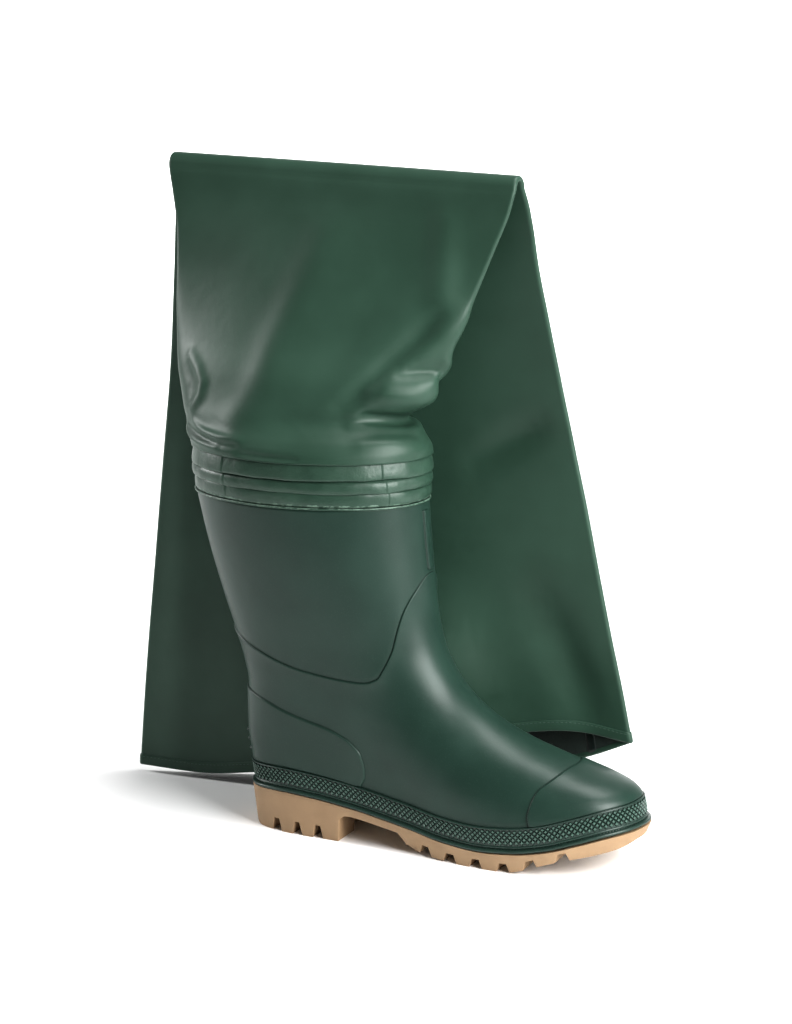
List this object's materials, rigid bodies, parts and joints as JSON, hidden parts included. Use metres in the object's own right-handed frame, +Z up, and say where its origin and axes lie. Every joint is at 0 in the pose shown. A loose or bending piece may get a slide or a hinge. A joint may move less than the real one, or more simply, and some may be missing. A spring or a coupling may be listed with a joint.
{
  "type": "hip wader",
  "caption": "Green moulded boot with a tan lugged sole, a pleated cuff and a coated cloth thigh shaft folded over and hanging down behind it.",
  "frame": {"origin": "middle of the rear heel lug's tread, on the floor", "axes": "+X to the toe, +Y to the inner side of the right foot, +Z up"},
  "size_m": [0.4331, 0.1767, 0.4805],
  "materials": {
    "sole_tan": "matt tan moulded sole",
    "insole_foam": "grey foam with a cloth face",
    "band_dark_green": "glossy dark green band with diamond studs",
    "boot_green": "satin dark green moulded PVC with a fine grain",
    "coated_cloth": "smooth satin green PVC coating on cloth"
  },
  "bodies": {
    "root": {"outsole": "sole_tan", "insole": "insole_foam", "foxing_band": "band_dark_green", "boot_upper": "boot_green", "toe_cap": "boot_green", "heel_counter": "boot_green", "heel_spur_rib_1": "boot_green", "heel_spur_rib_2": "boot_green", "heel_spur_rib_3": "boot_green", "shin_rib": "boot_green", "collar_bead": "boot_green", "pleated_cuff": "coated_cloth", "thigh_shaft": "coated_cloth", "mouth_hem": "coated_cloth"}
  },
  "joints": []
}
